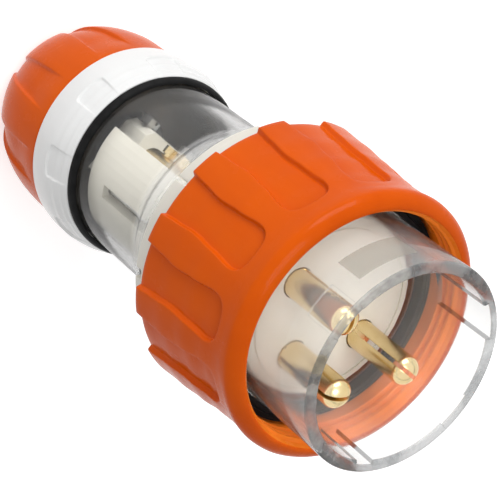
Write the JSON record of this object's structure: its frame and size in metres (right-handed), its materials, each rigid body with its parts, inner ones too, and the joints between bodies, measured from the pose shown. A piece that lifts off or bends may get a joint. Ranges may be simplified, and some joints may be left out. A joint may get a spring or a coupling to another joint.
{
  "type": "pin and sleeve plug",
  "caption": "Cylindrical pin and sleeve power plug with a clear body, split round pins inside a keyed shroud, a threaded locking ring and a cable gland nut.",
  "frame": {"origin": "centre of the gland nut's flat end, which is the centre of the underside of the standing plug", "axes": "+Z along the plug's axis towards the pins, -X towards the earth pin, +Y towards the active pin"},
  "size_m": [0.0796, 0.0796, 0.1735],
  "materials": {
    "clear_polycarbonate": "clear and polished",
    "orange_moulding": "satin gloss moulding",
    "white_moulding": "gloss moulding",
    "cream_moulding": "satin moulding",
    "black_rubber": "matt rubber",
    "brass": "turned and bright",
    "zinc_plated_steel": "zinc plated"
  },
  "bodies": {
    "plug": {"clear_body": "clear_polycarbonate", "face_seal": "black_rubber", "pin_carrier": "cream_moulding", "terminal_block": "cream_moulding", "cord_clamp": "cream_moulding", "clamp_screw_1": "zinc_plated_steel", "clamp_screw_2": "zinc_plated_steel", "rear_collar": "white_moulding", "collar_seal": "black_rubber", "cable_grommet": "black_rubber", "active_pin": "brass", "neutral_pin": "brass", "earth_pin": "brass", "active_terminal_screw_1": "brass", "active_terminal_screw_2": "brass", "neutral_terminal_screw_1": "brass", "neutral_terminal_screw_2": "brass", "earth_terminal_screw_1": "brass", "earth_terminal_screw_2": "brass", "carrier_screw_1": "zinc_plated_steel", "carrier_screw_2": "zinc_plated_steel"},
    "lock": {"locking_ring": "orange_moulding", "ring_retainer": "cream_moulding"},
    "washer": {"thrust_washer": "zinc_plated_steel"},
    "nut": {"gland_nut": "orange_moulding"}
  },
  "joints": [
    {"name": "ring_turn", "type": "hinge", "parent": "plug", "child": "lock", "pos_m": [0, 0, 0.113], "axis": [0, 0, 1], "continuous": true},
    {"name": "washer_slide", "type": "slide", "parent": "plug", "child": "washer", "axis": [0, 0, -1], "range_m": [0, 0.006]},
    {"name": "nut_turn", "type": "hinge", "parent": "washer", "child": "nut", "pos_m": [0, 0, 0], "axis": [0, 0, -1], "range_deg": [0, 1080]}
  ],
  "couplings": [
    {"joint": "washer_slide", "follows": "nut_turn", "m_per_rad": 0.0003183}
  ]
}
